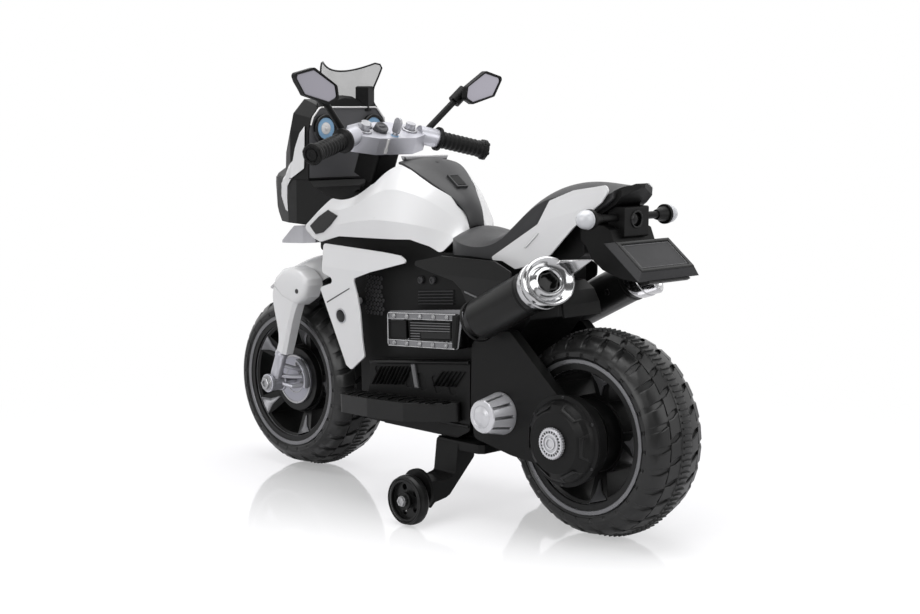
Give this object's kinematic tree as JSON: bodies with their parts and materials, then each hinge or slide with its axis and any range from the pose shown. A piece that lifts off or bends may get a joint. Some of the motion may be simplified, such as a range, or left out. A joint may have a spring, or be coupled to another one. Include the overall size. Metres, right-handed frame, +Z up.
{
  "type": "kids electric motorbike",
  "caption": "Kids electric ride-on motorbike with stabiliser wheels, steering fork, moulded fairing, mirrors, side exhausts, geared rear drive and foot pedal.",
  "frame": {"origin": "on the ground, midway between the two axles on the centre plane", "axes": "+X towards the front wheel, +Y to the rider's left, +Z up"},
  "size_m": [1.068, 0.4968, 0.7659],
  "materials": {
    "gloss_white": "gloss",
    "satin_black": "satin",
    "wheel_black": "satin",
    "tyre_black": "matte",
    "dark_grey": "satin",
    "silver": "satin",
    "chrome": "polished",
    "smoked": "gloss",
    "clear": "gloss",
    "mirror": "polished",
    "steel": "brushed",
    "drive_plastic": "satin",
    "battery_case": "satin"
  },
  "bodies": {
    "chassis": {"tank_panels": "gloss_white", "side_shrouds": "gloss_white", "tail_panels": "gloss_white", "cowl_cheeks": "gloss_white", "body_shells": "satin_black", "side_covers": "satin_black", "mufflers": "satin_black", "tail_tray": "satin_black", "rear_mudguard": "satin_black", "plate_holder": "satin_black", "signal_stalks": "satin_black", "lower_nose": "satin_black", "cowl": "satin_black", "rear_arms": "satin_black", "hub_covers": "satin_black", "trainer_arms": "satin_black", "footboards": "satin_black", "tank_strip": "dark_grey", "seat": "dark_grey", "dash_panel": "dark_grey", "number_plate": "dark_grey", "axle_caps": "silver", "muffler_caps": "chrome", "engine_covers": "chrome", "beak": "chrome", "windshield": "smoked", "headlight_lens": "clear", "signal_lenses": "clear", "axle_bolts": "steel", "drive_motor": "steel", "steering_bush": "drive_plastic", "battery": "battery_case", "control_box": "battery_case"},
    "steering": {"steering_stem": "satin_black", "fork_legs": "silver", "fork_guards": "gloss_white", "front_fender": "gloss_white", "front_axle": "steel", "handlebar": "silver", "grips": "satin_black", "mirror_arms": "satin_black", "stem_cover": "satin_black"},
    "front_wheel": {"front_tyre": "tyre_black", "front_rim": "wheel_black", "brake_discs": "silver"},
    "rear_wheel": {"rear_tyre": "tyre_black", "rear_rim": "wheel_black", "drive_gear": "drive_plastic"},
    "motor_rotor": {"motor_pinion": "drive_plastic"},
    "stabiliser_left": {"trainer_wheel_left": "wheel_black"},
    "stabiliser_right": {"trainer_wheel_right": "wheel_black"},
    "mirror_left": {"mirror_housing_left": "satin_black", "mirror_glass_left": "mirror"},
    "mirror_right": {"mirror_housing_right": "satin_black", "mirror_glass_right": "mirror"},
    "ignition_key": {"ignition_key": "silver"},
    "horn_button": {"horn_button": "silver"},
    "music_button": {"music_button": "silver"},
    "power_switch": {"power_switch": "satin_black"},
    "accelerator_pedal": {"accelerator_pedal": "satin_black"}
  },
  "joints": [
    {"name": "steering", "type": "hinge", "parent": "chassis", "child": "steering", "pos_m": [0.35395, 0, 0.16313], "axis": [-0.3746, 0, 0.9272], "range_deg": [-25, 25]},
    {"name": "front_wheel_spin", "type": "hinge", "parent": "steering", "child": "front_wheel", "pos_m": [0.366, 0, 0.168], "axis": [0, 1, 0], "continuous": true},
    {"name": "rear_wheel_spin", "type": "hinge", "parent": "chassis", "child": "rear_wheel", "pos_m": [-0.366, 0, 0.168], "axis": [0, 1, 0], "continuous": true},
    {"name": "motor_spin", "type": "hinge", "parent": "chassis", "child": "motor_rotor", "pos_m": [-0.3162, 0.067, 0.18613], "axis": [0, 1, 0], "continuous": true},
    {"name": "stabiliser_left_spin", "type": "hinge", "parent": "chassis", "child": "stabiliser_left", "pos_m": [-0.10497, 0.188, 0.042], "axis": [0, 1, 0], "continuous": true},
    {"name": "stabiliser_right_spin", "type": "hinge", "parent": "chassis", "child": "stabiliser_right", "pos_m": [-0.10497, -0.188, 0.042], "axis": [0, 1, 0], "continuous": true},
    {"name": "mirror_left_swivel", "type": "hinge", "parent": "steering", "child": "mirror_left", "pos_m": [0.14283, 0.156, 0.69368], "axis": [-0.191, 0.7134, 0.6742], "range_deg": [-20, 20]},
    {"name": "mirror_right_swivel", "type": "hinge", "parent": "steering", "child": "mirror_right", "pos_m": [0.14283, -0.156, 0.69368], "axis": [-0.191, -0.7134, 0.6742], "range_deg": [-20, 20]},
    {"name": "key_turn", "type": "hinge", "parent": "steering", "child": "ignition_key", "pos_m": [0.13459, 0, 0.63318], "axis": [0.3746, 0, -0.9272], "range_deg": [0, 90]},
    {"name": "horn_press", "type": "slide", "parent": "steering", "child": "horn_button", "axis": [0.3746, 0, -0.9272], "range_m": [0, 0.003], "stiffness_N_per_m": 400, "springref_m": -0.002},
    {"name": "music_press", "type": "slide", "parent": "steering", "child": "music_button", "axis": [0.3746, 0, -0.9272], "range_m": [0, 0.003], "stiffness_N_per_m": 400, "springref_m": -0.002},
    {"name": "power_rocker", "type": "hinge", "parent": "chassis", "child": "power_switch", "pos_m": [-0.02159, 0, 0.55271], "axis": [0, 1, 0], "range_deg": [-7, 7]},
    {"name": "pedal_press", "type": "hinge", "parent": "chassis", "child": "accelerator_pedal", "pos_m": [0.01002, -0.1173, 0.18527], "axis": [0, 1, 0], "range_deg": [0, 8], "stiffness_Nm_per_rad": 0.6, "springref_deg": -8.59}
  ],
  "couplings": [
    {"joint": "motor_spin", "follows": "rear_wheel_spin", "ratio": -4.8889}
  ]
}
